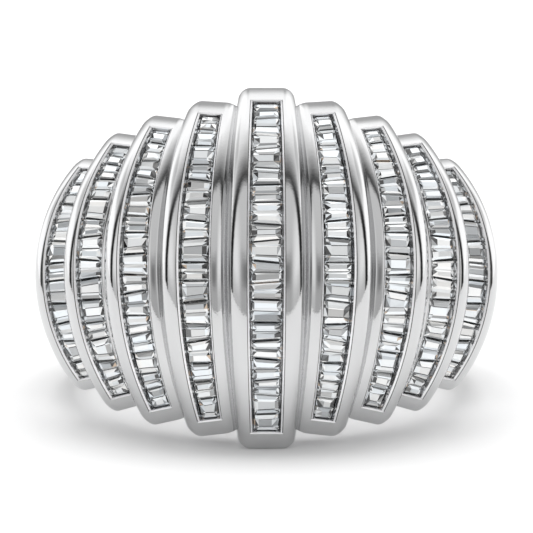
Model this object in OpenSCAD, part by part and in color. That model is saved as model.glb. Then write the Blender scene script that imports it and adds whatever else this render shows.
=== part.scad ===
// Dome ring of white gold, lying on its side with the dome to the front (-Y).
// Nine ribs fan round an upright axis inside the dome. Each rib is bent to an arc
// that runs along the finger axis, and its channel holds a row of baguette stones.

/* [Finger hole] */
// Inside diameter of the ring
bore_d = 17.3; // [16.6:0.1:17.6]

/* [Dome] */
// Distance from the finger axis forward to the axis that the ribs fan round
fan_forward = 2; // [1.8:0.05:2.2]
// Distance from the fan axis to the crest of each rib at mid-height
fan_r = 12.15; // [12:0.05:12.4]
// Half of the arc that each rib bends through, in degrees
rib_half_arc = 44.1; // [43:0.1:46]
// Half length of the middle rib along the finger
mid_half = 8.78; // [8.5:0.01:9.1]
// Half lengths of the side ribs along the finger, from the middle outwards
side_half = [8.12, 7.47, 6.73, 5.65]; // [5.5:0.01:8.2]
// Angles round the fan axis at which the side ribs stand
side_place = [16.7, 31.9, 45.4, 57.8]; // [15:0.1:60]
// Angles at which the faces of the side ribs look, less than their places so that the ribs step back like tiles
side_face = [15, 25, 33, 38]; // [12:0.5:40]

/* [Ribs] */
// Radius of the round outer border of a rib
outer_bead_r = 1.16; // [1.1:0.01:1.2]
// Radius of the round inner border, which tucks under the next rib
inner_bead_r = 0.6; // [0.5:0.01:0.7]
// Angle by which the borders of a rib close in towards its ends
bead_close = 8; // [6:0.5:9]
// Radius of the corners at the ends of a rib
corner_r = 0.45; // [0.3:0.05:0.6]

/* [Channels] */
// Half width of the middle rib's channel at its rim
mid_channel = 0.85; // [0.8:0.01:0.88]
// Half width of the side ribs' channels at their rims
side_channel = 0.8; // [0.75:0.01:0.85]
// Angle by which the walls of a channel close in towards its ends
wall_close = 4; // [3:0.5:5]
// Half of the arc that a channel takes of its rib, in degrees
channel_half_arc = 39.5; // [38:0.1:40]
// Depth of the channel under the rim
channel_depth = 1.05; // [1:0.05:1.2]
// Depth at which the flared top of the wall ends and the stones' girdles lie
girdle_depth = 0.4; // [0.35:0.01:0.5]
// Width of the flare, seen from above
flare = 0.12; // [0.08:0.01:0.14]

/* [Stones] */
// Number of stones in the middle rib
mid_stones = 18; // [14:1:19]
// Numbers of stones in the side ribs, from the middle outwards
side_stones = [16, 15, 13, 11]; // [9:1:17]
// Gap between a stone and the channel wall
wall_gap = 0.04; // [0.03:0.01:0.08]
// Gap between neighbouring stones
stone_gap = 0.1; // [0.1:0.01:0.15]
// Height of the crown above the girdle
crown_h = 0.14; // [0.1:0.01:0.2]
// Thickness of the girdle
girdle_h = 0.05; // [0.03:0.01:0.08]
// Depth of the pavilion under the girdle
pavilion_h = 0.5; // [0.4:0.01:0.55]
// Share by which the widths of the stones in a row vary
width_change = 0.14; // [0:0.01:0.2]

/* [Shank] */
// Thickness of the shank at the back
shank_t = 1.6; // [1.4:0.05:2]
// Distance by which the outside of the shank is set forward, so that it thickens to the shoulders
shank_forward = 0.8; // [0.5:0.05:1]
// Half width of the shank at the back
shank_back_half = 2.1; // [1.8:0.05:2.4]
// Half width of the shank at the shoulders
shank_shoulder_half = 3.3; // [3:0.05:3.5]

/* [Hidden] */
$fn = 96;
// Ribs on each side of the middle one
SIDES = 4;
// What cuts pass beyond the faces that they cut
eps = 0.3;
// Depths to which the web and the borders of a rib reach, well inside the finger hole
web_root = 7;
outer_root = 6.6;
inner_root = 6.2;
// How far the leg of a border reaches into the web
leg_overlap = 0.25;
// The middle of a channel's floor lies this much deeper than its sides
floor_step = 0.05;
// How far each half of a channel's cut reaches past its middle
seam_w = 0.1;
// Room at the ends of a row of stones, which grows as the rib's face turns from the plane that it bends in
end_slack = 0.5;
// The flat between the borders lies this much under their crests
web_drop = 0.03;
// The outline that rounds the corners of a rib reaches this much past its ends
end_over = 0.05;
// Distance forward of the finger axis at which the shank ends inside the ribs
shoulder_v = 6.5;

place = concat([0], side_place);
face = concat([0], side_face);
half = concat([mid_half], side_half);
stones = concat([mid_stones], side_stones);
rim = concat([mid_channel], [for (i = [1:SIDES]) side_channel]);
bore_r = bore_d / 2;
back_r = bore_r + shank_t;

// Radius of a rib's arc, whose half length and half angle are given
function arc_r(i) = half[i] / sin(rib_half_arc);
// Angle by which a rib's face is turned to the front from the plane that it bends in
function turn(i) = place[i] - face[i];
// Crest of a rib at mid-height
function crest(i) = [fan_r * sin(place[i]), -fan_forward - fan_r * cos(place[i])];
// Outward direction across a face that looks at an angle
function across(a) = [cos(a), sin(a)];

// The ring leans back on the middle rib's lower end and the back of the shank.
front_v = fan_forward + fan_r - arc_r(0) * (1 - cos(rib_half_arc)) * cos(bead_close);
lean = atan2(mid_half - shank_back_half, front_v + back_r);
lift = mid_half * cos(lean) - front_v * sin(lean);
y_front = -((fan_forward + fan_r - arc_r(0)) * cos(lean) + arc_r(0));
y_back = back_r * cos(lean) + shank_back_half * sin(lean);

// Sets the ring down as it rests, with its footprint centred on the origin
module rested() {
    translate([0, -(y_front + y_back) / 2, lift])
        rotate([-lean, 0, 0])
            children();
}

// Ribs and stones are made for the right side and mirrored to the left.
module on_side(s) {
    if (s < 0) mirror([1, 0, 0]) children();
    else children();
}

// Places what is drawn round the arc's axis at the point q, where the arc bulges towards the angle a
module at_arc(q, a, r) {
    translate([q[0], q[1], 0])
        rotate([0, 0, a - 90])
            translate([-r, 0, 0])
                rotate([-90, 0, 0])
                    children();
}

// Bends a section along a rib's arc. The section has height along X and the outward width along Y,
// and its origin runs along the arc through q. The section looks at the angle of the rib's face.
module bend(i, q, a, half_arc) {
    r = arc_r(i);
    at_arc(q, a, r)
        rotate([0, 0, -half_arc])
            rotate_extrude(angle = 2 * half_arc)
                translate([r, 0])
                    rotate(face[i] - a)
                        children();
}

// Border with a round crest at the origin and a straight leg down from its outward side
module bead_section(r, root) {
    translate([-r, 0]) circle(r);
    translate([-root, -leg_overlap]) square([root - r, r + leg_overlap]);
}

// Rib without its channel
module rib_bars(i) {
    w = rim[i];
    outer_a = place[i] + bead_close;
    inner_a = place[i] - bead_close;
    inner_r = i == 0 ? outer_bead_r : inner_bead_r;
    bend(i, crest(i) + w * across(face[i]), outer_a, rib_half_arc) bead_section(outer_bead_r, outer_root);
    bend(i, crest(i) - w * across(face[i]), inner_a, rib_half_arc) mirror([0, 1]) bead_section(inner_r, inner_root);
    bend(i, crest(i), place[i], rib_half_arc)
        translate([-web_root, -w])
            square([web_root - web_drop, 2 * w]);
}

// Width that the closing angle takes off at height z of an arc with radius r
function closed(r, z, a) = (r - sqrt(r * r - z * z)) * sin(a);

// Outline of a rib seen square to the plane across its arc, with round corners on its outer side
module rib_outline(i) {
    h = half[i] + end_over;
    reach = 3;
    side = rim[i] + outer_bead_r - closed(arc_r(i), half[i], bead_close);
    c = side - corner_r;
    corner = [for (a = [0:15:90]) [c + corner_r * sin(a), h - corner_r * (1 - cos(a))]];
    upper = concat(corner, [[reach, h / 2]]);
    lower = [for (k = [len(upper) - 1:-1:0]) [upper[k][0], -upper[k][1]]];
    outer = concat(upper, lower);
    inner = [for (k = [len(outer) - 1:-1:0]) [-outer[k][0], outer[k][1]]];
    if (i == 0) polygon(concat(outer, inner));
    else polygon(concat([[-reach, h]], outer, [[-reach, -h]]));
}

// The outline carried back through the rib
module rib_block(i) {
    depth = web_root + 2;
    translate([crest(i)[0], crest(i)[1], 0])
        rotate([0, 0, place[i] - 90])
            translate([-depth + 1, 0, 0])
                rotate([0, 90, 0])
                    rotate([0, 0, 90])
                        linear_extrude(depth)
                            rib_outline(i);
}

// Half of the channel's section, from one wall past the middle, and deeper by the given step
module wall_section(i, step) {
    slope = flare / girdle_depth;
    top = eps + step;
    floor_t = -channel_depth - step;
    polygon([[top, top * slope], [-girdle_depth, -flare], [floor_t, -flare],
        [floor_t, -rim[i] - seam_w - step], [top, -rim[i] - seam_w - step]]);
}

// The channel of a rib, cut as two halves that overlap, as its walls close a little towards its ends
module channel(i) {
    w = rim[i];
    bend(i, crest(i) + w * across(face[i]), place[i] + wall_close, channel_half_arc)
        wall_section(i, 0);
    bend(i, crest(i) - w * across(face[i]), place[i] - wall_close, channel_half_arc)
        mirror([0, 1])
            wall_section(i, floor_step);
}

// One rib. The last rib on each side is whole here, as its channel also trims the rib beside it.
module rib(s) {
    i = abs(s);
    on_side(s)
        difference() {
            intersection() {
                rib_bars(i);
                rib_block(i);
            }
            if (i < SIDES) channel(i);
        }
}

// Band round the finger, thick at the shoulders and narrow at the back
module shank() {
    outer_r = back_r + shank_forward;
    end_half = shank_back_half - eps * (shank_shoulder_half - shank_back_half) / (back_r + shoulder_v);
    intersection() {
        translate([0, -shank_forward, -mid_half]) cylinder(r = outer_r, h = 2 * mid_half);
        rotate([90, 0, 90])
            linear_extrude(3 * back_r, center = true)
                polygon([
                    [-shoulder_v, -shank_shoulder_half],
                    [back_r + eps, -end_half],
                    [back_r + eps, end_half],
                    [-shoulder_v, shank_shoulder_half]
                ]);
    }
}

module ring_body() {
    color("gainsboro")
        rested()
            difference() {
                union() {
                    shank();
                    for (s = [-SIDES:SIDES]) rib(s);
                }
                for (s = [-1, 1]) on_side(s) channel(SIDES);
                translate([0, 0, -mid_half - eps]) cylinder(r = bore_r, h = 2 * (mid_half + eps));
            }
}

// Step-cut stone with its girdle at the origin: height along X, width along Y and length along Z
module baguette(half_w, half_l) {
    table_w = half_w * 0.6;
    table_l = half_l - (half_w - table_w);
    keel_l = half_l * 0.55;
    g = girdle_h / 2;
    function ring(x, w, l) = [[x, -w, -l], [x, w, -l], [x, w, l], [x, -w, l]];
    points = concat(
        ring(g + crown_h, table_w, table_l),
        ring(g, half_w, half_l),
        ring(-g, half_w, half_l),
        [[-g - pavilion_h, 0, -keel_l], [-g - pavilion_h, 0, keel_l]]
    );
    sides = [for (b = [0, 4], k = [0:3]) [b + k, b + (k + 1) % 4, b + 4 + (k + 1) % 4, b + 4 + k]];
    faces = concat([[3, 2, 1, 0]], sides, [[8, 9, 12], [9, 10, 13, 12], [10, 11, 13], [11, 8, 12, 13]]);
    polyhedron(points, faces);
}

// Share of a row that stone k takes, before the row is fitted to its channel
function share(i, k) = 1 + width_change * sin(137 * k + 71 * i);
// Sum of the shares of the first n stones
function shares(i, n) = n <= 0 ? 0 : share(i, n - 1) + shares(i, n - 1);

// Row of stones along the channel of a rib
module baguette_row(s) {
    i = abs(s);
    r = arc_r(i);
    seat_r = r - girdle_depth;
    margin = asin((stone_gap + end_slack * sin(turn(i))) / seat_r);
    per_share = 2 * (channel_half_arc - margin) / shares(i, stones[i]);
    color("white")
        rested()
            on_side(s)
                for (k = [0:stones[i] - 1]) {
                    from = shares(i, k) * per_share;
                    arc = share(i, k) * per_share;
                    at = from + arc / 2 - channel_half_arc + margin;
                    edge = abs(at) + arc / 2;
                    half_l = rim[i] - flare - wall_gap - closed(r, r * sin(edge), wall_close);
                    low_r = seat_r - girdle_h - half_l * sin(turn(i));
                    half_w = (low_r * arc * PI / 180 - stone_gap) / 2;
                    at_arc(crest(i), place[i], r)
                        rotate([0, 0, at])
                            translate([r, 0, 0])
                                rotate([0, turn(i), 0])
                                    translate([-girdle_depth, 0, 0])
                                        baguette(half_w, half_l);
                }
}

ring_body();
for (n = [1:9]) {
    baguette_row(n - 5);
}
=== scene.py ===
# %% [markdown]
# A dome ring lies on its side on a pale table, as it would if somebody put it down. Its dome is
# made of nine ribs of polished white gold, and each rib carries a channel of step-cut baguette
# diamonds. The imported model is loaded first. It fixes the size and the place of everything that
# follows.

# %% Load the frame
import math

import bpy
import numpy as np
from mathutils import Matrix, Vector


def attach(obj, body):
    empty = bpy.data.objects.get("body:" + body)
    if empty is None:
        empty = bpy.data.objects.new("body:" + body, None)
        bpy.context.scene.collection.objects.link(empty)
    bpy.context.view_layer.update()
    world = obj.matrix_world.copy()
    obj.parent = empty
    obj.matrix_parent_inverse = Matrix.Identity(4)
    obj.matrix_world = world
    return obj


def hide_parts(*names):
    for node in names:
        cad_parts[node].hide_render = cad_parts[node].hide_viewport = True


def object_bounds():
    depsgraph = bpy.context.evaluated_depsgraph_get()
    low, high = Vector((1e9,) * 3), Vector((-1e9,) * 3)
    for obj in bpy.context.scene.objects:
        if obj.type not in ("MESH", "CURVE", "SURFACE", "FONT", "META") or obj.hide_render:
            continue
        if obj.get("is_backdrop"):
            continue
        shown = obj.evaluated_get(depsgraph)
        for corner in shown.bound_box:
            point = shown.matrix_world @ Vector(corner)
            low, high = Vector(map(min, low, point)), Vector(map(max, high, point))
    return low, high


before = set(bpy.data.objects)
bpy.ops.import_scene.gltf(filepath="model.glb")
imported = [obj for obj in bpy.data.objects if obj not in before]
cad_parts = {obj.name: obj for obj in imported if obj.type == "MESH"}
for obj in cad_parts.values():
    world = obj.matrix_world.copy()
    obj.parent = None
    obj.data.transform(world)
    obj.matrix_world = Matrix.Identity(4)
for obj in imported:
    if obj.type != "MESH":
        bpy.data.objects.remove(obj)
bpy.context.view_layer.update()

# %% [markdown]
# The ring is worked out upright in its own frame, in millimetres: X to the right, V forward to the
# front of the dome and Z along the finger. The nine ribs fan round an upright axis inside the
# dome, and each is bent to an arc. The sizes are those of the solids, so that the smooth surfaces
# here land on them. The borders, the channel walls and the height of the stones are moved by up to
# a tenth of a millimetre, and the lines along a rib close in by a few degrees more or less, which
# follows the real ring more closely. A ring can also be modelled lying down from the start, but
# the lean would then spoil the symmetry that makes every formula short.
#
# A list has one entry for each rib, from the middle one outwards. HALF is half the height of a
# rib, PLACE is its angle round the fan and FACE is the angle that its face looks in. RIM is half
# the width of its channel, and OUTER_R and INNER_R are the sizes of its two round borders. The
# three CLOSE lists say by what angle each line closes in towards the ends, and END_SLOPE and the
# two ROUND lists shape the ends themselves.

# %% Sizes of the ring
MM = 0.001
BORE_R, BACK_R = 8.65, 10.25
FAN_FORWARD, FAN_R = 2.0, 12.15
RIB_ARC, CHANNEL_ARC = math.radians(44.1), math.radians(39.5)
BORDER_CLOSE, INNER_CLOSE = np.radians([11.3, 9.9, 8, 8, 8]), np.radians([11.3, 2.4, 2, 2, 2])
WALL_CLOSE, SOLID_CLOSE = np.radians([3, 5, 5, 5, 5]), math.radians(8)
HALF = np.array([8.78, 8.12, 7.47, 6.73, 5.65])
PLACE = np.radians([0, 16.7, 31.9, 45.4, 57.8])
FACE = np.radians([0, 15, 25, 33, 38])
RIM = np.array([0.87, 0.8, 0.8, 0.8, 0.8])
OUTER_R = np.array([1.19, 1.22, 1.16, 1.16, 1.12])
INNER_R = np.array([1.19, 0.66, 0.6, 0.6, 0.6])
STONES = [18, 16, 15, 13, 11]
END_SLOPE = np.radians([0, 6, 6, 2, -8])
OUTER_ROUND, INNER_ROUND = [0.3, 0.55, 0.6, 0.6, 0.5], [0.3, 0.05, 0.05, 0.05, 0.05]
CHANNEL_DEPTH, GIRDLE_DEPTH, FLARE = 1.05, 0.3, 0.09
SHANK_FORWARD, SHANK_BACK, SHANK_SHOULDER, SHOULDER_V = 0.8, 2.1, 3.3, 6.5
ARC_R = HALF / math.sin(RIB_ARC)
CREST = np.stack([FAN_R * np.sin(PLACE), FAN_FORWARD + FAN_R * np.cos(PLACE)], axis=1)
print("radii of the rib arcs in mm", np.round(ARC_R, 2))

# %% [markdown]
# Lying down, the ring leans on the lower end of the middle rib and on the back of the shank. The
# lean is the angle between the line through those two points and the ring's own mid-plane. The
# solid's middle rib closes in by SOLID_CLOSE, and its lower end sets where that line starts.
# Turning every point in one function keeps the pieces together, whichever way they are made.

# %% Lay the ring down
FRONT_V = FAN_FORWARD + FAN_R - ARC_R[0] * (1 - math.cos(RIB_ARC)) * math.cos(SOLID_CLOSE)
LEAN = math.atan2(HALF[0] - SHANK_BACK, FRONT_V + BACK_R)
LIFT = HALF[0] * math.cos(LEAN) - FRONT_V * math.sin(LEAN)
Y_FRONT = -((FAN_FORWARD + FAN_R - ARC_R[0]) * math.cos(LEAN) + ARC_R[0])
Y_BACK = BACK_R * math.cos(LEAN) + SHANK_BACK * math.sin(LEAN)


def lie_down(x, v, z):
    """Turn the ring's frame back about X by the lean, lift it onto the table and go to metres."""
    y = -v * math.cos(LEAN) + z * math.sin(LEAN) - (Y_FRONT + Y_BACK) / 2
    up = v * math.sin(LEAN) + z * math.cos(LEAN) + LIFT
    return np.stack(np.broadcast_arrays(x, y, up), axis=-1) * MM


print("the ring leans back by", round(math.degrees(LEAN), 2), "degrees")

# %% [markdown]
# The camera stands in front of the dome, 13 degrees above the table, with a long lens, as a
# jeweller's photograph is taken. It is made before the pieces, so every render frames the same
# view.

# %% Camera
CAMERA_UP, CAMERA_AWAY, AIM_RISE = math.radians(12.94), 220.0, 0.93
FOCAL_PIXELS, FRAME_PIXELS = 4340.0, 533.0
camera_data = bpy.data.cameras.new("camera")
camera_data.sensor_width = 36.0
camera_data.lens = FOCAL_PIXELS / FRAME_PIXELS * camera_data.sensor_width
camera = bpy.data.objects.new("camera", camera_data)
bpy.context.scene.collection.objects.link(camera)
bpy.context.scene.camera = camera
ring_centre = Vector(lie_down(0.0, 0.0, 0.0))
camera_back = Vector((0, -math.cos(CAMERA_UP), math.sin(CAMERA_UP)))
camera_rise = Vector((0, math.sin(CAMERA_UP), math.cos(CAMERA_UP)))
aim = ring_centre + camera_rise * AIM_RISE * MM
camera.location = aim + camera_back * CAMERA_AWAY * MM
camera.rotation_euler = (math.pi / 2 - CAMERA_UP, 0, 0)
camera_data.clip_start, camera_data.clip_end = 0.01, 10.0
print("lens of", round(camera_data.lens), "mm at", CAMERA_AWAY, "mm from the ring")

# %% [markdown]
# Polished metal and cut stones show little of themselves and a lot of the studio, so the light is
# part of the look. A white tent goes over the table and down its sides. Its opening in front of
# the dome is a grey arch with a dark rim, which draws the dark lines along the ribs. The arch is
# darker low in its middle and brighter low at its sides, which shades the borders from the channel
# outwards. A grey shelf stands at each side of the tent, and its back wall is grey, which draws
# the soft outline of the metal. Lamps with cards would do as well, but a world that depends only
# on direction lights every view alike and needs no stands that could come into a picture. The
# limits of all ramps are degrees, of the angle away from the front or of the height over the
# table, apart from those of the arch's rim, which are shares of the way from its middle.


# %% Shader helpers
class Value:
    """A socket that takes part in sums: each operator adds the Math node that works it out."""

    def __init__(self, tree, socket):
        self.tree, self.socket = tree, socket

    def math(self, operation, *others):
        node = self.tree.nodes.new("ShaderNodeMath")
        node.operation = operation
        for slot, item in zip(node.inputs, (self, *others)):
            plug(self.tree, slot, item)
        return Value(self.tree, node.outputs[0])

    def flip(self, operation, other):
        node = self.tree.nodes.new("ShaderNodeMath")
        node.operation = operation
        for slot, item in zip(node.inputs, (other, self)):
            plug(self.tree, slot, item)
        return Value(self.tree, node.outputs[0])

    def __add__(self, other):
        return self.math("ADD", other)

    def __sub__(self, other):
        return self.math("SUBTRACT", other)

    def __mul__(self, other):
        return self.math("MULTIPLY", other)

    def __truediv__(self, other):
        return self.math("DIVIDE", other)

    __radd__, __rmul__ = __add__, __mul__

    def __rsub__(self, other):
        return self.flip("SUBTRACT", other)

    def __abs__(self):
        return self.math("ABSOLUTE")

    def ramp(self, low, high):
        """Smooth step: 0 below low, 1 above high, and level at both ends."""
        node = self.tree.nodes.new("ShaderNodeMapRange")
        node.interpolation_type = "SMOOTHSTEP"
        for slot, item in zip(node.inputs, (self, low, high, 0.0, 1.0)):
            plug(self.tree, slot, item)
        return Value(self.tree, node.outputs[0])


def plug(tree, slot, item):
    """Put a number, a colour or another socket into a socket."""
    if isinstance(item, Value):
        tree.links.new(item.socket, slot)
    elif isinstance(item, bpy.types.NodeSocket):
        tree.links.new(item, slot)
    else:
        slot.default_value = item


class Recipe:
    """The nodes of one material or world, with one method that makes any node."""

    def __init__(self, owner):
        owner.use_nodes = True
        self.tree = owner.node_tree
        self.tree.nodes.clear()

    def node(self, kind, settings=None, **values):
        """Make a node: settings first, then each named socket gets its value or link."""
        made = self.tree.nodes.new("ShaderNode" + kind)
        for name, setting in (settings or {}).items():
            setattr(made, name, setting)
        for name, item in values.items():
            plug(self.tree, made.inputs[name.replace("_", " ")], item)
        return made

    def value(self, socket):
        return Value(self.tree, socket)


# %% World light
world = bpy.data.worlds.new("studio")
bpy.context.scene.world = world
sky = Recipe(world)
direction = sky.node("TexCoord").outputs["Generated"]
axes = sky.node("SeparateXYZ", Vector=direction)
side, forward, height = (sky.value(axes.outputs[name]) for name in "XYZ")
azimuth = side.math("ARCTAN2", forward * -1.0) * (180 / math.pi)
elevation = height.math("ARCSINE") * (180 / math.pi)
ARCH_WIDE, ARCH_HIGH, ARCH_BEND = 86.0, 66.0, 2.5
TENT, ROOF, BACK_WALL, SHELF, RIM_DARK = 1.6, 1.5, 0.5, 0.85, 0.02
OPENING, OPENING_LOW, OPENING_BAND, OPENING_SIDE = 0.74, 0.18, 0.3, 1.18
STEEP_LIGHT = 0.08
away = abs(azimuth)
# Distance from the middle of the opening, which is 1 on the rim of the arch
wide = (away / ARCH_WIDE).math("POWER", ARCH_BEND)
high = (abs(elevation) / ARCH_HIGH).math("POWER", ARCH_BEND)
from_middle = (wide + high).math("POWER", 1 / ARCH_BEND)
steep = elevation.ramp(15, 50)
inside = 1 - from_middle.ramp(0.84, 0.94)
outside = from_middle.ramp(1.04 - 0.09 * steep, 1.17 + 0.4 * steep).math("POWER", 0.6)
low_middle = (1 - away.ramp(22, 45)) * (1 - elevation.ramp(19, 29))
band = (1 - away.ramp(4, 44)) * elevation.ramp(7, 15) * (1 - elevation.ramp(18, 29))
low_side = away.ramp(26, 58) * elevation.ramp(1, 14) * (1 - elevation.ramp(16, 44))
opening = OPENING - OPENING_LOW * low_middle - OPENING_BAND * band
opening = opening + (OPENING_SIDE - OPENING) * low_side
shelf = away.ramp(92, 104) * (1 - away.ramp(110, 126))
shelf = shelf * elevation.ramp(18, 27) * (1 - elevation.ramp(36, 46))
back = away.ramp(130, 156) * (1 - elevation.ramp(54, 76))
tent = TENT + (SHELF - TENT) * shelf
tent = tent + (BACK_WALL - tent) * back
tent = tent + (ROOF - TENT) * elevation.ramp(55, 75) * (1 - back)
light = inside * opening + outside * tent + RIM_DARK + STEEP_LIGHT * steep
background = sky.node("Background", Color=(1, 1, 1, 1), Strength=light)
sky.node("OutputWorld", Surface=background.outputs[0])
print("the studio has", len(world.node_tree.nodes), "nodes")

# %% [markdown]
# The table is a plain white sheet, and it is stage, not part of the ring. One broad lamp hangs
# over it, a little behind the ring. It brightens the sheet to white and leaves a soft shadow at
# the ring's foot. It is kept out of reflections, because the tent already draws those.

# %% Table
TABLE = 0.3
LAMP_SIZE, LAMP_POWER, LAMP_BACK, LAMP_UP = 0.5, 2.1, 0.2, 0.6
table_mesh = bpy.data.meshes.new("table")
table_corners = [(-TABLE, -TABLE, 0), (TABLE, -TABLE, 0), (TABLE, TABLE, 0), (-TABLE, TABLE, 0)]
table_mesh.from_pydata(table_corners, [], [(0, 1, 2, 3)])
table = bpy.data.objects.new("table", table_mesh)
bpy.context.scene.collection.objects.link(table)
table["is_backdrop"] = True
paper = bpy.data.materials.new("table paper")
recipe = Recipe(paper)
place = recipe.node("TexCoord").outputs["Object"]
paper_noise = recipe.node("TexNoise", Vector=place, Scale=400.0, Detail=4.0)
paper_rough = 0.55 + 0.1 * recipe.value(paper_noise.outputs["Fac"])
shader = recipe.node(
    "BsdfPrincipled",
    Base_Color=(0.94, 0.94, 0.94, 1),
    Roughness=paper_rough,
    Specular_IOR_Level=0.1,
)
recipe.node("OutputMaterial", Surface=shader.outputs[0])
table_mesh.materials.append(paper)
lamp_data = bpy.data.lights.new("broad lamp", "AREA")
lamp_data.size, lamp_data.energy = LAMP_SIZE, LAMP_POWER
lamp = bpy.data.objects.new("broad lamp", lamp_data)
lamp.location = (0, LAMP_BACK, LAMP_UP)
lamp.rotation_euler = (-math.atan2(LAMP_BACK, LAMP_UP), 0, 0)
lamp.visible_glossy = lamp.visible_transmission = lamp.visible_camera = False
bpy.context.scene.collection.objects.link(lamp)
print("the lamp hangs", LAMP_UP, "m over the table")

# %% [markdown]
# Each rib is a round-backed bar that is bent to an arc. A rib could be swept as a curve with a
# bevel profile, but its ends have to close in and round over while the channel stops short of
# them, so the section is worked out again at every station along the arc. One function places a
# point of the section, given by its height above the crest line and its width across the rib's
# face.


# %% Place a point on a rib
def on_rib(i, angle, t, w):
    """The section is turned by the rib's face angle, then carried round the arc: the distance from
    the arc's axis is its radius plus the turned height, and the angle runs up from mid-height. The
    angle grows a little with the width, so the rib's ends slope."""
    turn = FACE[i] - PLACE[i]
    angle = angle * (1 + w * math.tan(END_SLOPE[i]) / (ARC_R[i] * RIB_ARC))
    out = ARC_R[i] + t * math.cos(turn) - w * math.sin(turn)
    across = t * math.sin(turn) + w * math.cos(turn)
    reach = out * np.cos(angle) - ARC_R[i]
    x = CREST[i, 0] + reach * math.sin(PLACE[i]) + across * math.cos(PLACE[i])
    v = CREST[i, 1] + reach * math.cos(PLACE[i]) - across * math.sin(PLACE[i])
    return x, v, out * np.sin(angle)


def closed(i, angle, by):
    """Width lost at an angle along the arc when a line closes in by the given angle."""
    return ARC_R[i] * (1 - np.cos(angle)) * np.sin(by)


def root_height(i, angle, w, radius):
    """Height, below the crest, at which a line straight down through the rib meets the cylinder of
    the given radius round the finger. It is the larger root of a quadratic."""
    x0, v0, _ = on_rib(i, angle, 0.0, w)
    x1, v1, _ = on_rib(i, angle, 1.0, w)
    dx, dv = x1 - x0, v1 - v0
    a, b, c = dx**2 + dv**2, 2 * (x0 * dx + v0 * dv), x0**2 + v0**2 - radius**2
    return (-b + np.sqrt(np.maximum(b**2 - 4 * a * c, 0))) / (2 * a)


print("the middle rib is", round(-float(root_height(0, np.array(0.0), 0.0, BORE_R)), 2), "mm deep")

# %% [markdown]
# The stations lie close together where the shape turns: at the ends of the channel and where the
# rib rounds over. At each end of the channel two stations share nearly one place. One still has
# the channel and the next is whole, so the faces between them are the channel's end wall.

# %% Stations along a rib
TOP_ROUND, LIP, END_OUT = 0.16, 0.06, 0.08
CROWN, CROWN_RUN = 0.06, 0.7


def quarter(size, left):
    """Inset of a quarter circle of the given size at a distance from its end."""
    return size - np.sqrt(np.maximum(size**2 - np.maximum(size - left, 0) ** 2, 0))


def stations(i):
    """Angles, distances from the rib's end, openness and the dip of the lip at the channel's end,
    for one half and then mirrored. The stations crowd towards the end as a sine does."""
    end = RIB_ARC + END_OUT / ARC_R[i]
    run = np.linspace(0, CHANNEL_ARC, 46)
    step = LIP / ARC_R[i]
    ledge = np.array([CHANNEL_ARC + 1e-5, CHANNEL_ARC + step])
    begin = max(end - OUTER_ROUND[i] / ARC_R[i], CHANNEL_ARC + 2 * step)
    flat_run = np.linspace(CHANNEL_ARC + step, begin, 6)[1:]
    middle = np.concatenate([[CHANNEL_ARC + 1.1 * step], flat_run])
    turn = end - (end - begin) * (1 - np.sin(np.radians(np.linspace(0, 90, 19)[1:])))
    angle = np.concatenate([run, ledge, middle, turn])
    is_open = (angle <= CHANNEL_ARC + 1e-9).astype(float)
    lip = np.zeros_like(angle)
    lip[len(run)] = LIP
    table = np.stack([angle, (end - angle) * ARC_R[i], is_open, lip])
    back = table[:, :0:-1].copy()
    back[0] *= -1
    return np.concatenate([back, table], axis=1)[:, :, None]


print("stations on the middle rib:", stations(0).shape[1])

# %% [markdown]
# The section runs from the root up the outer flank, over the quarter-round border, down over a
# bevelled lip into the channel, across its floor, and back out over the other border. In the whole
# stretches past the channel the same points spread over the flat top instead. The lip and the wall
# are a short list of points: their heights below the top and their widths from the channel's rim.
# The first four are a fine groove, the next three are the bevel, made bright with a painted sheen,
# and the rest go down the flared wall to the floor. LIP_SHEEN_AND_SHADE says for each of them how
# much rougher the metal is made and how much a painted sheen lightens it; below zero it paints a
# dark line of shade.

# %% Section of a rib
FLANK, ROUND = 7, 20
ROOT_R = BORE_R + 0.12
VALLEY, VALLEY_TURN = 0.85, 40
EDGE, WALL = 0.075, -FLARE - 0.01
GROOVE_T, GROOVE_W = [-0.001, -0.005, -0.011, -0.02], [0.064, 0.053, 0.044, 0.036]
BEVEL_T, BEVEL_W = [-0.021, -0.084, -0.085], [0.035, -0.04, -0.041]
WALL_T = [-GIRDLE_DEPTH, -GIRDLE_DEPTH - 0.02, -0.75, -CHANNEL_DEPTH, -CHANNEL_DEPTH]
WALL_W = [-FLARE, WALL, WALL, WALL, -0.45]
LIP_T, LIP_W = np.array(GROOVE_T + BEVEL_T + WALL_T), np.array(GROOVE_W + BEVEL_W + WALL_W)
# Above zero a mark makes the metal rougher and lightens it with a painted sheen; below zero it
# paints a dark line of shade.
LIP_SHEEN_AND_SHADE = np.array([-1, -1, -1, -1, 1, 1, 0.4, 0.4, 0, 0, 0, 0])


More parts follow.
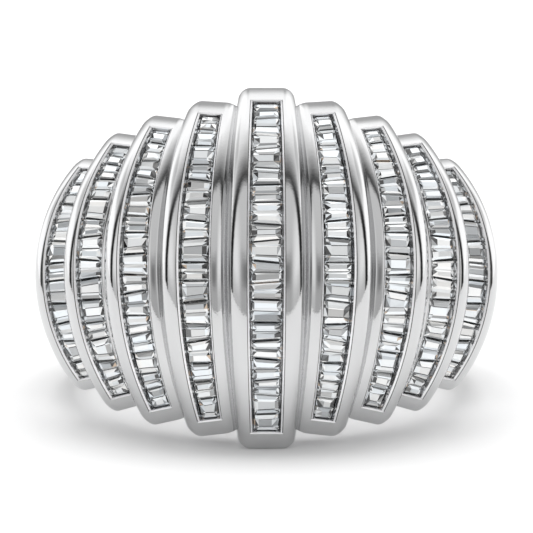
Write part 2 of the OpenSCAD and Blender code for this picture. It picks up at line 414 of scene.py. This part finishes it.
def rib_points(i):
    """Section points at every station: height and width arrays, joined in order and placed. The
    whole top drops towards the rib's ends by a parabola. The second array is a mark: how much
    rougher the metal is made and how much a painted sheen lightens it, all of it on the lip, some
    in the channel, most in the valleys. Below zero, in the groove, it paints a dark line of shade."""
    angle, left, is_open, lip = stations(i)
    top_inset = quarter(TOP_ROUND, left) + CROWN * np.clip(1 - left / CROWN_RUN, 0, 1) ** 2
    rim = RIM[i] - closed(i, angle, WALL_CLOSE[i])
    arc = np.radians(np.linspace(0, 90, ROUND))[None, :]
    flat = np.linspace(0.93, 0.12, len(LIP_W))
    parts, marks = [], []
    dip = (lip > 0) | (np.roll(lip, 1, axis=0) > 0) | (np.roll(lip, -1, axis=0) > 0)
    on_lip = np.where(is_open > 0, LIP_SHEEN_AND_SHADE, dip)
    outer_side = (OUTER_R[i], OUTER_ROUND[i], BORDER_CLOSE[i], 1)
    inner_side = (INNER_R[i], INNER_ROUND[i], INNER_CLOSE[i], -1)
    for size, corner, close, way in (outer_side, inner_side):
        side_inset = quarter(corner, left)
        border = RIM[i] + size - closed(i, angle, close) - rim
        bow_w = rim + EDGE + (border - EDGE - side_inset) * np.cos(arc)
        bow_t = -border + (border - top_inset) * np.sin(arc)
        low_w = way * bow_w[:, :1]
        root = root_height(i, angle, low_w, ROOT_R)
        share = np.linspace(0, 1, FLANK)[None, :-1]
        flank_t = root + (bow_t[:, :1] - root) * share
        well_w = np.where(is_open > 0, rim + LIP_W, (rim + EDGE) * flat)
        well_t = np.where(is_open > 0, LIP_T - top_inset, -lip - top_inset + 0 * flat)
        t = np.concatenate([flank_t, bow_t, well_t], axis=1)
        w = np.concatenate([low_w + 0 * flank_t, way * bow_w, way * well_w], axis=1)
        parts.append((t, w))
        # The flanks and the low part of each border get the valley mark: rougher metal with a
        # painted sheen.
        valley = VALLEY * np.clip(1 - np.degrees(arc) / VALLEY_TURN, 0, 1)
        side_mark = [VALLEY + 0 * flank_t, valley + 0 * bow_w, on_lip + 0 * well_w]
        marks.append(np.concatenate(side_mark, axis=1))
    middle_t = np.where(is_open > 0, -CHANNEL_DEPTH, -lip - top_inset)
    t = np.concatenate([parts[0][0], middle_t, parts[1][0][:, ::-1]], axis=1)
    w = np.concatenate([parts[0][1], 0 * middle_t, parts[1][1][:, ::-1]], axis=1)
    base_w = (w[:, -1:] + w[:, :1]) / 2
    t = np.concatenate([t, root_height(i, angle, base_w, ROOT_R)], axis=1)
    w = np.concatenate([w, base_w], axis=1)
    middle_mark, base_mark = on_lip[:, -1:] + 0 * middle_t, VALLEY + 0 * base_w
    mark = np.concatenate([marks[0], middle_mark, marks[1][:, ::-1], base_mark], axis=1)
    return lie_down(*on_rib(i, angle, t, w)), mark


def grid_quads(rows, columns, wrap_rows=False):
    """Corner numbers of every quad of a grid whose columns close into a loop."""
    last = rows if wrap_rows else rows - 1
    r, c = np.meshgrid(np.arange(last), np.arange(columns), indexing="ij")
    r2, c2 = (r + 1) % rows, (c + 1) % columns
    near, far = r * columns, r2 * columns
    return np.stack([near + c, near + c2, far + c2, far + c], axis=-1).reshape(-1, 4)


def cap_triangles(ring, centre):
    """A fan from a centre point to a closed ring of points."""
    return np.stack([ring, np.roll(ring, -1), np.full(len(ring), centre)], axis=1)


print("points in the section of a rib:", rib_points(0)[1].shape[1])

# %% [markdown]
# One helper turns points and faces into an object. The left half of the ring is the right half
# with X turned over, which would turn the faces inside out, so their corners are listed the other
# way round. Faces are smooth apart from edges sharper than 30 degrees.


# %% Make a piece
def make_piece(name, points, faces, left=False, sharp=30.0):
    """Build a mesh from an array of points and a list of face corner lists, mirrored if left."""
    points = points.reshape(-1, 3).copy()
    if left:
        points[:, 0] *= -1
        faces = [face[::-1] for face in faces]
    mesh = bpy.data.meshes.new(name)
    mesh.from_pydata(points, [], faces)
    mesh.update()
    mesh.validate()
    if sharp:
        mesh.polygons.foreach_set("use_smooth", np.ones(len(mesh.polygons), dtype=bool))
        mesh.set_sharp_from_angle(angle=math.radians(sharp))
    piece = bpy.data.objects.new(name, mesh)
    bpy.context.scene.collection.objects.link(piece)
    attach(piece, "root")
    return piece


def volume(piece):
    """Volume in cubic millimetres, as the sum of the signed volumes under each triangle."""
    mesh = piece.data
    mesh.calc_loop_triangles()
    points = np.zeros(3 * len(mesh.vertices))
    mesh.vertices.foreach_get("co", points)
    triangles = np.zeros(3 * len(mesh.loop_triangles), dtype=int)
    mesh.loop_triangles.foreach_get("vertices", triangles)
    a, b, c = (points.reshape(-1, 3) / MM)[triangles.reshape(-1, 3).T]
    return float(np.einsum("ij,ij->", a, np.cross(b, c)) / 6)


# %% [markdown]
# White gold for a ring like this is plated and polished to a mirror. It is a metal shader with a
# pale, slightly cool grey. A mirror finish still has soft waves from the buffing wheel and fine
# hairlines, so noise moves the roughness a little, and a very low bump bends the reflections. The
# narrow lip round each channel, and the wall under it, were cut with a graver after polishing, so
# they are rougher, and so are the valleys between the ribs, where the wheel doesn't reach. A mark
# on those points makes the metal rougher, so it catches light from all round, and also paints it
# paler with a painted sheen. A mark below zero paints a fine dark line of shade where the graver's
# cut begins.

# %% White gold
gold = bpy.data.materials.new("white gold")
recipe = Recipe(gold)
place = recipe.node("TexCoord").outputs["Object"]
place_mm = recipe.node("VectorMath", {"operation": "SCALE"}, Vector=place, Scale=1000.0).outputs[0]
broad_noise = recipe.node("TexNoise", Vector=place_mm, Scale=0.45, Detail=3.0)
fine_noise = recipe.node("TexNoise", Vector=place_mm, Scale=9.0, Detail=4.0)
buffing, hairlines = (recipe.value(noise.outputs["Fac"]) for noise in (broad_noise, fine_noise))
sheen_and_shade_mark = recipe.value(recipe.node("Attribute", {"attribute_name": "sheen_and_shade_mark"}).outputs["Fac"])
# Above zero the mark roughens the metal and paints it paler as a painted sheen; below zero it
# paints a dark line of shade.
cut, line = sheen_and_shade_mark.math("MAXIMUM", 0.0), (sheen_and_shade_mark * -1.0).math("MAXIMUM", 0.0)
polish = 0.035 + 0.04 * buffing + 0.02 * hairlines + 0.35 * cut
COOL_GOLD, PALE_GOLD = (0.588, 0.592, 0.6, 1), (0.62, 0.62, 0.62, 1)
# The near black is a painted dark line of shade where the lip begins; the pale grey is a painted
# sheen.
PAINTED_SHEEN_GOLD, PAINTED_LINE_SHADE = (0.93, 0.93, 0.94, 1), (0.1, 0.1, 0.1, 1)
tone = COOL_GOLD
for factor, colour in ((buffing, PALE_GOLD), (cut, PAINTED_SHEEN_GOLD), (line, PAINTED_LINE_SHADE)):
    mix = recipe.node("Mix", {"data_type": "RGBA"}, Factor=factor, A=tone, B=colour)
    tone = mix.outputs["Result"]
wave = recipe.node("Bump", Strength=0.06, Distance=0.0002, Height=buffing + 0.1 * hairlines)
shader = recipe.node(
    "BsdfPrincipled", Base_Color=tone, Metallic=1.0, Roughness=polish, Normal=wave.outputs[0]
)
recipe.node("OutputMaterial", Surface=shader.outputs[0])
print("white gold has", len(gold.node_tree.nodes), "nodes")

# %% [markdown]
# Now the nine ribs are made, from the left of the dome to the right. Rib 5 is the middle one.

# %% The nine ribs
ribs = []
for number in range(1, 10):
    i = abs(number - 5)
    points, mark = rib_points(i)
    rows, columns = points.shape[:2]
    faces = grid_quads(rows, columns)[:, ::-1].tolist()
    ends = [points[0].mean(axis=0), points[-1].mean(axis=0)]
    loop, centre = np.arange(columns), rows * columns
    faces += cap_triangles(loop, centre).tolist()
    faces += cap_triangles(loop[::-1] + centre - columns, centre + 1).tolist()
    whole = np.concatenate([points.reshape(-1, 3), np.array(ends)])
    rib = make_piece(f"rib_{number}", whole, faces, left=number < 5)
    # Each point keeps its mark: rougher metal with a painted sheen above zero, a painted dark line
    # of shade below zero.
    layer = rib.data.attributes.new("sheen_and_shade_mark", "FLOAT", "POINT")
    layer.data.foreach_set("value", np.append(mark.ravel(), [0, 0]))
    rib.data.materials.append(gold)
    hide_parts("ring_body")
    ribs.append(rib)
print("volumes of rib 5 and rib 1 in cubic mm:", [round(volume(ribs[k]), 1) for k in (4, 0)])

# %% [markdown]
# The hoop is the band that the finger goes through. It is narrow at the back, widens to the
# shoulders, and under the dome it spreads to a collar that the ribs stand on. It is one surface: a
# rectangle with rounded corners, whose half width and thickness change with the angle round the
# finger. A lathe could not do this, because the width changes on the way round.


# %% Hoop and collar
COLLAR_R, CORNER = 10.0, 0.16


def smooth(x, low, high):
    """Smooth step from 0 at low to 1 at high, for arrays."""
    s = np.clip((x - low) / (high - low), 0, 1)
    return s * s * (3 - 2 * s)


def to_circle(angle, forward, radius):
    """Distance from a centre, at an angle from the front, to a circle that is set forward."""
    return forward * np.cos(angle) + np.sqrt(radius**2 - (forward * np.sin(angle)) ** 2)


def rib_end_at_bore():
    """Angle round the finger and height at which the end of each rib meets the finger hole."""
    to_axis = (to_circle(PLACE, -FAN_FORWARD, BORE_R) - (FAN_R - ARC_R)) / math.cos(RIB_ARC)
    return np.degrees(np.arctan2(CREST[:, 0], CREST[:, 1])), to_axis * math.sin(RIB_ARC)


def hoop_points(count=360, bend=6):
    """Rectangle with rounded corners at every angle round the finger. The inner side lies on the
    finger hole, and the outer side on a larger circle that is set forward. Between 48 and 60
    degrees from the front the collar gives way to the shank."""
    turn = np.linspace(-180, 180, count, endpoint=False)[:, None]
    off = np.abs(turn)
    phi = np.radians(turn)
    outer = to_circle(phi, SHANK_FORWARD, BACK_R + SHANK_FORWARD)
    outer = outer + (COLLAR_R - outer) * (1 - smooth(off, 50, 60))
    degrees, end = rib_end_at_bore()
    collar = np.interp(off, degrees, end - CORNER)
    arc = np.radians(np.linspace(0, 90, bend))[None, :]
    # Walk round the upper half: inner wall, inner corner, outer corner, outer wall
    rho_in = BORE_R + CORNER - CORNER * np.cos(arc)
    rho_out = outer - CORNER + CORNER * np.sin(arc)
    drop_in, drop_out = CORNER - CORNER * np.sin(arc), CORNER - CORNER * np.cos(arc)
    rho = np.concatenate([BORE_R + 0 * phi, rho_in + 0 * phi, rho_out, outer], axis=1)
    drop = np.concatenate([0 * phi, drop_in + 0 * phi, drop_out + 0 * phi, 0 * phi], axis=1)
    v = rho * np.cos(phi)
    plain = SHANK_BACK + (v + BACK_R) * (SHANK_SHOULDER - SHANK_BACK) / (BACK_R + SHOULDER_V)
    flared = collar + (rho - BORE_R) * math.tan(RIB_ARC)
    front = 1 - smooth(off, 48, 56)
    z = plain + (flared - plain) * front - drop
    z[:, 0] *= 0.5
    z[:, -1] *= 0.5
    rho = np.concatenate([rho, rho[:, ::-1]], axis=1)
    z = np.concatenate([z, -z[:, ::-1]], axis=1)
    return lie_down(rho * np.sin(phi), rho * np.cos(phi), z)


points = hoop_points()
rows, columns = points.shape[:2]
hoop = make_piece("hoop", points, grid_quads(rows, columns, wrap_rows=True).tolist())
hoop.data.materials.append(gold)
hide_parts("ring_body")
print("volume of the hoop in cubic mm:", round(volume(hoop), 1))

# %% [markdown]
# Baguettes are cut as narrow steps: a table, crown steps that run the long way of the stone, short
# steps at its ends, a thin girdle and a keel. A diamond throws back nearly all the light that
# falls in, so from outside each step reads as a bar of light or shade, and the ends break up into
# small sparkles. Here the crown is a strip of bars: lines across the stone at chosen shares of its
# width that slope down to the girdle at both ends over two rows of small triangles. Two cuts take
# turns by chance: one wide table between steps, and two narrow tables with a groove between them.
# Small changes from stone to stone, joints that slant a little, and mitres of different lengths at
# the ends of the tables stand for cutting and matching by hand. All stones of a row are worked out
# at once as arrays.
#
# In the tables below the first row is the cut with one table and the second is the cut with two.
# SHARES and HEIGHTS place the ten lines. GROUP names the lines that shift together, FREE says how
# far each may shift, MITRED says how much of the mitre it gets, and ROW_KIND says what the strip
# after each line is.

# %% Step-cut stones
SHARES = np.array([
    [0, 0.04, 0.17, 0.29, 0.33, 0.67, 0.71, 0.83, 0.96, 1],
    [0, 0.04, 0.13, 0.36, 0.478, 0.522, 0.64, 0.87, 0.96, 1],
])
HEIGHTS = np.array([
    [2, 10, 14.5, 17, 15.8, 15.8, 17, 14.5, 10, 2],
    [2, 11, 16, 15.4, 8, 8, 15.4, 16, 11, 2],
]) / 100
GROUP = np.array([[0, 1, 2, 3, 3, 4, 4, 5, 6, 0], [0, 1, 2, 3, 4, 4, 5, 6, 7, 0]])
FREE = np.array([[0, 2, 6, 8, 8, 8, 8, 6, 2, 0], [0, 2, 5, 6, 3, 3, 6, 5, 2, 0]]) / 10
MITRED = np.array([[0, 0, 0.5, 1, 1, 1, 1, 0.5, 0, 0], [0, 0, 1, 1, 0, 0, 1, 1, 0, 0]])
ROW_KIND = np.array([[1, 0, 0, 1, 4, 1, 0, 0, 1], [1, 0, 4, 0, 1, 0, 4, 0, 1]])
END_STEPS = np.array([0, 0.07, 0.15, -0.15, -0.07, 0])
END_HEIGHTS = np.array([0, 0.6, 1, 1, 0.6, 0])
SIDE = np.array([1, 1, 1, -1, -1, -1])
TABLE_ENDS, BROKEN_ENDS = np.array([0, 0, 1, -1, 0, 0]), np.array([0, 1, 0, 0, 1, 0])
MITRE, BROKEN = 0.22, 0.02
KEEL_DEPTH, KEEL_INSET, GIRDLE_LOW = -0.50, 0.46, -0.02
STONE_GAP, END_GAP, WALL_GAP, WIDTH_CHANGE, SLANT = 0.024, 0.01, 0.02, 0.16, 0.10
SHARE_CHANGE, SKEW, HEIGHT_CHANGE = 0.05, 0.03, 0.012
LINES, ACROSS, GROUPS, DOUBLE_SHARE = SHARES.shape[1], len(END_STEPS), GROUP.max() + 1, 0.6


def row_points(i, chance):
    """Corners of the stones of one row. A stone's share of the row changes by a sine of its number,
    a joint lies where the shares of the stones before it end, and it slants by another sine. A
    line's place is low + (high - low) * share, and its six points lie at both ends of the girdle
    and one and two end steps in from them."""
    n = STONES[i]
    seat = ARC_R[i] - GIRDLE_DEPTH
    share = 1 + WIDTH_CHANGE * np.sin(np.radians(137 * np.arange(n) + 71 * i))
    joint = np.concatenate([[0], np.cumsum(share)]) / share.sum()
    joint = (2 * joint - 1) * (CHANNEL_ARC - END_GAP / seat)
    slant = SLANT * np.sin(np.radians(151 * np.arange(n + 1) + 40 * i))
    slant[[0, -1]] = 0
    middle = (joint[:-1] + joint[1:]) / 2
    low = (joint[:-1] - middle) * seat + STONE_GAP / 2
    high = (joint[1:] - middle) * seat - STONE_GAP / 2
    far = np.maximum(np.abs(joint[:-1]), np.abs(joint[1:]))
    half_l = RIM[i] - FLARE - WALL_GAP - closed(i, far, WALL_CLOSE[i])
    cut = (chance.uniform(0, 1, n) < DOUBLE_SHARE).astype(int)
    inner = (GROUP[0] > 0).astype(float)
    moves = (chance.uniform(-size, size, (n, GROUPS)) for size in (SHARE_CHANGE, SKEW))
    shift, skew = (FREE[cut] * np.take_along_axis(move, GROUP[cut], axis=1) for move in moves)
    lines = (SHARES[cut] + shift)[:, :, None] + skew[:, :, None] * SIDE
    heights = HEIGHTS[cut] + HEIGHT_CHANGE * inner * chance.uniform(-1, 1, (n, LINES))
    mitre = MITRE * chance.uniform(0, 1, (n, 1, ACROSS)) * TABLE_ENDS * MITRED[cut][:, :, None]
    z = half_l[:, None, None] * SIDE - END_STEPS - mitre
    edge_low = low[:, None, None] + slant[:-1, None, None] * z
    edge_high = high[:, None, None] + slant[1:, None, None] * z
    u = edge_low + (edge_high - edge_low) * lines
    top = HEIGHTS[0, 0] + (heights - HEIGHTS[0, 0])[:, :, None] * END_HEIGHTS
    broken = BROKEN * chance.uniform(-1, 1, (n, LINES, ACROSS)) * inner[:, None] * BROKEN_ENDS
    crown = np.stack([top + broken, u, z], axis=-1).reshape(n, LINES * ACROSS, 3)
    corner = crown[:, [0, ACROSS - 1, LINES * ACROSS - 1, (LINES - 1) * ACROSS]].copy()
    corner[:, :, 0] = GIRDLE_LOW
    keel_z = np.stack([half_l - KEEL_INSET, KEEL_INSET - half_l], axis=1)
    keel_u = ((low + high) / 2)[:, None] + ((slant[:-1] + slant[1:]) / 2)[:, None] * keel_z
    keel = np.stack([KEEL_DEPTH + 0 * keel_z, keel_u, keel_z], axis=-1)
    local = np.concatenate([crown, corner, keel], axis=1)
    angle = middle[:, None]
    x, v, z = on_rib(i, angle, -GIRDLE_DEPTH + local[..., 0], local[..., 2])
    x = x - local[..., 1] * np.sin(angle) * math.sin(PLACE[i])
    v = v - local[..., 1] * np.sin(angle) * math.cos(PLACE[i])
    z = z + local[..., 1] * np.cos(angle)
    return lie_down(x, v, z), cut


def stone_faces(cut=0):
    """Corner numbers of one stone, and what each facet is: 0 a step, 1 a thin line, 2 a sparkle of
    the ends, 3 a face under the crown, 4 a table, 5 a sparkle next to the wall. The end facets are
    cut along the mitre. The lists go round clockwise, so they are turned over at the end."""
    faces, kinds = [], []
    for line in range(LINES - 1):
        for k in range(ACROSS - 1):
            a, d = ACROSS * line + k, ACROSS * (line + 1) + k
            b, c = a + 1, d + 1
            if k == ACROSS // 2 - 1:
                faces.append([a, b, c, d])
                kinds.append(ROW_KIND[cut][line])
                continue
            same_way = (k < ACROSS // 2 - 1) == (line < LINES // 2 - 1)
            faces += [[a, b, c], [a, c, d]] if same_way else [[a, b, d], [b, c, d]]
            kinds += [5, 5] if k in (0, ACROSS - 2) else [2, 2]
    count = LINES * ACROSS
    c0, c1, c2, c3, k0, k1 = range(count, count + 6)
    first_end = [ACROSS * line for line in range(LINES)]
    last_end = [ACROSS * line + ACROSS - 1 for line in range(LINES)]
    faces.append(list(range(ACROSS - 1, -1, -1)) + [c0, c1])
    faces.append(list(range(count - ACROSS, count)) + [c2, c3])
    faces.append(first_end + [c3, c0])
    faces.append(last_end[::-1] + [c1, c2])
    faces += [[c1, c0, k0, k1], [c2, c1, k1], [c3, c2, k1, k0], [c0, c3, k0]]
    return [face[::-1] for face in faces], np.array(kinds + [3] * 8)


print("facets of a stone:", len(stone_faces()[0]))

# %% [markdown]
# The shader of the stones is half a mirror, because the steps of a diamond throw light back as
# mirrors do, with a share of clear diamond and a share of plain white. The white stands for light
# that comes in from all round and leaves again after many turns inside. Each facet gets a painted
# tone that stands in for the light and shade the steps below it would send back: bars are white
# moved a little towards blue or straw, thin steps are darker, and the small facets of the ends are
# anything from white to nearly black, with a few painted tan glints. Real refraction would need
# thousands of samples to settle in stones this small.

# %% Diamond
diamond = bpy.data.materials.new("diamond")
recipe = Recipe(diamond)
# The facet tones are painted light and shade, standing in for reflections inside the stone.
tint = recipe.node("Attribute", {"attribute_name": "facet_tint_and_painted_light"})
shader = recipe.node(
    "BsdfPrincipled",
    Base_Color=tint.outputs["Color"],
    Metallic=0.45,
    Roughness=0.08,
    IOR=2.42,
    Transmission_Weight=0.12,
)
recipe.node("OutputMaterial", Surface=shader.outputs[0])


COOL, WARM, TAN_GLINT = np.array([0.88, 0.945, 1.0]), np.array([1.0, 0.965, 0.92]), (0.6, 0.46, 0.34)
GLINT_SHARE = 0.018


def tint_and_paint_facet_light(piece, kinds, chance):
    """Paint each facet one tone of light and shade: a grey that depends on its kind times a colour
    between cool and warm. Thin lines and end facets, but not steps or tables, may be a painted tan
    glint instead."""
    count = len(kinds)
    share = chance.uniform(0, 1, kinds.shape)
    step = chance.choice([1.0, 0.85, 0.6, 0.32], size=share.shape, p=[0.4, 0.22, 0.22, 0.16])
    table = chance.choice([1.0, 0.9, 0.75, 0.5], size=share.shape, p=[0.5, 0.26, 0.16, 0.08])
    thin = np.where(share < 0.75, 0.01 + 0.25 * share, 1.0)
    end = chance.choice([0.02, 0.12, 0.4, 1.0], size=share.shape, p=[0.2, 0.18, 0.22, 0.4])
    seam = chance.choice([0.01, 0.06, 0.3, 1.0], size=share.shape, p=[0.3, 0.25, 0.2, 0.25])
    # Each kind of facet gets a painted tone of light and shade.
    grey = np.select([kinds == k for k in (0, 1, 2, 4, 5)], [step, thin, end, table, seam], 1.0)
    warm = (0.2 * chance.uniform(0, 1, (count, 1)) + 0.6 * share)[:, :, None]
    colour = (COOL * (1 - warm) + WARM * warm) * grey[:, :, None]
    # A few thin and end facets get a painted tan glint.
    colour[(chance.uniform(0, 1, share.shape) < GLINT_SHARE) & np.isin(kinds, (1, 2, 5))] = TAN_GLINT
    corner_count = np.zeros(len(piece.data.polygons), dtype=int)
    piece.data.polygons.foreach_get("loop_total", corner_count)
    facets = np.append(colour, np.ones_like(warm), axis=2).reshape(-1, 4)
    corners = np.repeat(facets, corner_count, axis=0)
    layer = piece.data.attributes.new("facet_tint_and_painted_light", "FLOAT_COLOR", "CORNER")
    layer.data.foreach_set("color", corners.ravel())


# %% The nine rows of stones
rows_of_stones = []
for number in range(1, 10):
    chance = np.random.default_rng(number)
    points, cut = row_points(abs(number - 5), chance)
    count, each = points.shape[:2]
    pattern = stone_faces()[0]
    kinds = np.stack([stone_faces(0)[1], stone_faces(1)[1]])[cut]
    starts = [each * stone for stone in range(count)]
    faces = [[corner + start for corner in face] for start in starts for face in pattern]
    row = make_piece(f"stones_{number}", points, faces, left=number < 5, sharp=None)
    tint_and_paint_facet_light(row, kinds, chance)
    row.data.materials.append(diamond)
    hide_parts(f"baguette_row_{number}")
    rows_of_stones.append(row)
print("volume of the middle row in cubic mm:", round(volume(rows_of_stones[4]), 2))

# %% [markdown]
# The last step keeps the tones of the room as they are and prints the size of the finished ring.

# %% Finish
bpy.context.scene.view_settings.view_transform = "Standard"
low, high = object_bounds()
print("visual box in mm", [round(1000 * (h - l), 2) for l, h in zip(low, high)])
